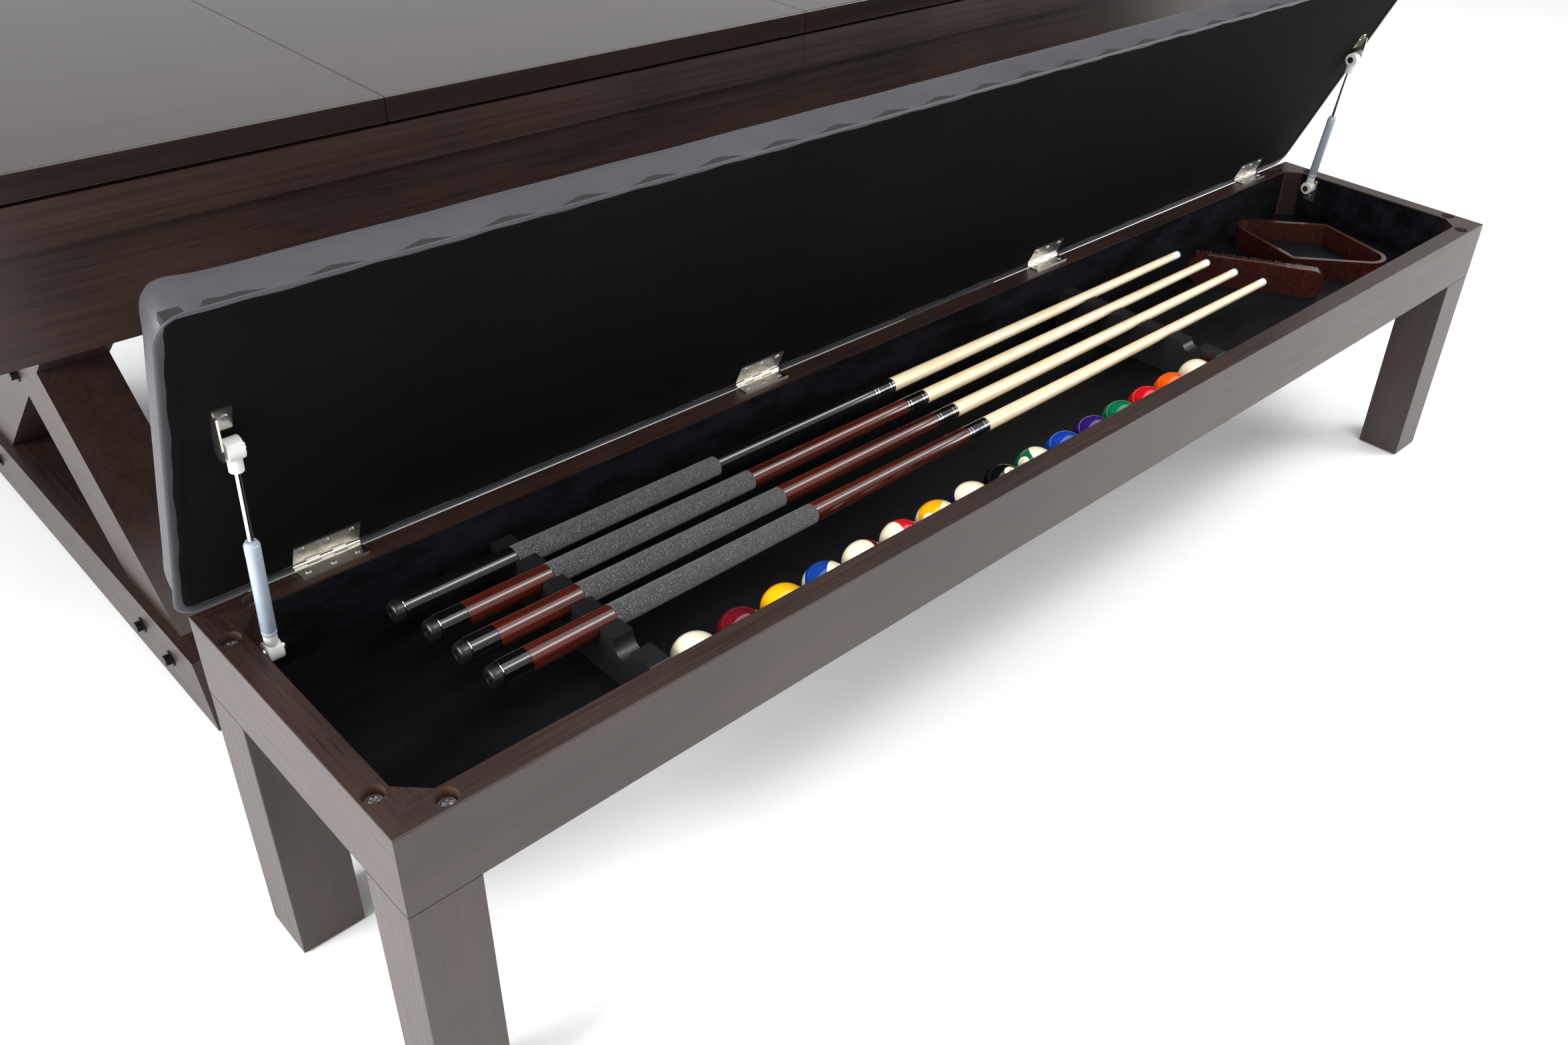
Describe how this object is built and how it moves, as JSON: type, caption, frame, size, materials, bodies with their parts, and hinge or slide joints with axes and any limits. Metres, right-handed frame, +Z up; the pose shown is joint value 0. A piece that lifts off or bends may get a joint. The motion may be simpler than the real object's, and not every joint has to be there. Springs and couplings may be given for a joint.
{
  "type": "pool table with storage bench",
  "caption": "Convertible dining and pool table on crossed trestles with a matching lift-lid storage bench that holds cues, balls, a rack and a brush.",
  "frame": {"origin": "centre of the whole set's footprint on the floor, between the bench and the table", "axes": "+X along the table and the bench towards the tips of the stored cues, +Y from the bench towards the table, +Z up"},
  "size_m": [2.445, 1.981, 0.875],
  "materials": {
    "stained_wood": "satin espresso stain",
    "light_wood_laminate": "satin dark laminate",
    "felt_lining": "flocked",
    "storage_floor": "matte black board",
    "black_moulding": "fine moulded grain",
    "nickel_hinge": "bright nickel plate",
    "zinc_steel": "bright zinc",
    "vinyl": "charcoal vinyl over foam, satin",
    "dust_cover": "fine black twill",
    "plywood": "bare plywood",
    "strut_case": "pale grey enamel",
    "strut_plastic": "moulded",
    "chrome_rod": "hard chrome",
    "black_steel": "black oxide",
    "mahogany": "high gloss lacquer",
    "linen_wrap": "speckled linen",
    "maple": "polished pale wood",
    "ferrule": "polished",
    "tip_leather": "suede",
    "bumper": "matte",
    "cue_black": "polished with silver rings",
    "ball_resin": "polished resin, each ball its own colour",
    "ball_white": "polished resin",
    "rubber_pad": "matte",
    "nylon_glide": "matte",
    "slate": "honed",
    "bed_cloth": "napped wool",
    "leather_cup": "moulded",
    "felt_pad": "felt",
    "bristle": "stiff black bristle"
  },
  "bodies": {
    "table": {"pockets": "leather_cup", "table_rails": "light_wood_laminate", "rail_cushions": "bumper", "slate_bed": "slate", "bed_cloth": "bed_cloth", "table_side_skirts": "light_wood_laminate", "table_end_skirts": "light_wood_laminate", "bed_joists": "plywood", "trestle_beams": "stained_wood", "trestle_through_arms": "stained_wood", "trestle_halved_arms": "stained_wood", "trestle_bolts": "black_steel", "trestle_foot_pads": "rubber_pad", "rail_pads": "felt_pad"},
    "bench": {"bench_leg_bolts": "zinc_steel", "bench_screws": "zinc_steel", "bench_long_boards": "stained_wood", "bench_end_boards": "stained_wood", "bench_legs": "stained_wood", "bench_glides": "nylon_glide", "bench_floor": "storage_floor", "bench_corner_blocks": "stained_wood", "well_lining": "felt_lining", "bench_hinge_leaves": "nickel_hinge", "hinge_pins": "nickel_hinge", "bench_strut_brackets": "zinc_steel", "cue_cradle_butt": "black_moulding", "cue_cradle_tip": "black_moulding"},
    "rack": {"diamond_rack": "mahogany"},
    "brush": {"brush_block": "mahogany", "brush_bristles": "bristle"},
    "lid": {"lid_board": "plywood", "lid_dust_cover": "dust_cover", "lid_cushion": "vinyl", "lid_hinge_leaves": "nickel_hinge", "lid_screws": "zinc_steel", "lid_strut_brackets": "zinc_steel"},
    "left_strut_body": {"left_strut_lower_eye": "strut_plastic", "left_strut_cylinder": "strut_case"},
    "left_strut_stem": {"left_strut_rod": "chrome_rod", "left_strut_upper_eye": "strut_plastic"},
    "right_strut_body": {"right_strut_lower_eye": "strut_plastic", "right_strut_cylinder": "strut_case"},
    "right_strut_stem": {"right_strut_rod": "chrome_rod", "right_strut_upper_eye": "strut_plastic"},
    "cues": {"cue_bumpers": "bumper", "cue_butt_caps": "cue_black", "cue_sleeves": "mahogany", "cue_wraps": "linen_wrap", "cue_forearms": "mahogany", "cue_collars": "cue_black", "cue_shafts": "maple", "cue_ferrules": "ferrule", "cue_tips": "tip_leather"},
    "balls": {"cue_ball": "ball_white", "object_balls": "ball_resin"},
    "top_section_1": {"dining_top_1": "light_wood_laminate"},
    "top_section_2": {"dining_top_2": "light_wood_laminate"},
    "top_section_3": {"dining_top_3": "light_wood_laminate"},
    "top_section_4": {"dining_top_4": "light_wood_laminate"}
  },
  "joints": [
    {"name": "bench_slide", "type": "slide", "parent": "table", "child": "bench", "axis": [0, 1, 0], "range_m": [-0.6, 0.1]},
    {"name": "lid_hinge", "type": "hinge", "parent": "bench", "child": "lid", "pos_m": [-0.976, -0.5865, 0.4595], "axis": [1, 0, 0], "range_deg": [0, 66.5]},
    {"name": "left_strut_tilt", "type": "hinge", "parent": "bench", "child": "left_strut_body", "pos_m": [-0.93, -0.6705, 0.4385], "axis": [1, 0, 0], "range_deg": [0, 80.36]},
    {"name": "left_strut_stroke", "type": "slide", "parent": "left_strut_body", "child": "left_strut_stem", "axis": [0, -0.1029, 0.9947], "range_m": [-0.08112, 0]},
    {"name": "right_strut_tilt", "type": "hinge", "parent": "bench", "child": "right_strut_body", "pos_m": [1.112, -0.6705, 0.4385], "axis": [1, 0, 0], "range_deg": [0, 80.36]},
    {"name": "right_strut_stroke", "type": "slide", "parent": "right_strut_body", "child": "right_strut_stem", "axis": [0, -0.1029, 0.9947], "range_m": [-0.08112, 0]},
    {"name": "cues_lift", "type": "slide", "parent": "bench", "child": "cues", "axis": [0, 0, 1], "range_m": [0, 0.02]},
    {"name": "balls_lift", "type": "slide", "parent": "bench", "child": "balls", "axis": [0, 0, 1], "range_m": [0, 0.02]},
    {"name": "rack_lift", "type": "slide", "parent": "bench", "child": "rack", "axis": [0, 0, 1], "range_m": [0, 0.04]},
    {"name": "brush_lift", "type": "slide", "parent": "bench", "child": "brush", "axis": [0, 0, 1], "range_m": [0, 0.03]},
    {"name": "top_section_1_lift", "type": "slide", "parent": "table", "child": "top_section_1", "axis": [0, 0, 1], "range_m": [0, 0.25]},
    {"name": "top_section_2_lift", "type": "slide", "parent": "table", "child": "top_section_2", "axis": [0, 0, 1], "range_m": [0, 0.25]},
    {"name": "top_section_3_lift", "type": "slide", "parent": "table", "child": "top_section_3", "axis": [0, 0, 1], "range_m": [0, 0.25]},
    {"name": "top_section_4_lift", "type": "slide", "parent": "table", "child": "top_section_4", "axis": [0, 0, 1], "range_m": [0, 0.25]}
  ],
  "couplings": [
    {"joint": "left_strut_tilt", "follows": "lid_hinge", "ratio": 1.2083},
    {"joint": "left_strut_stroke", "follows": "lid_hinge", "m_per_rad": -0.069853},
    {"joint": "right_strut_tilt", "follows": "lid_hinge", "ratio": 1.2083},
    {"joint": "right_strut_stroke", "follows": "lid_hinge", "m_per_rad": -0.069853}
  ]
}
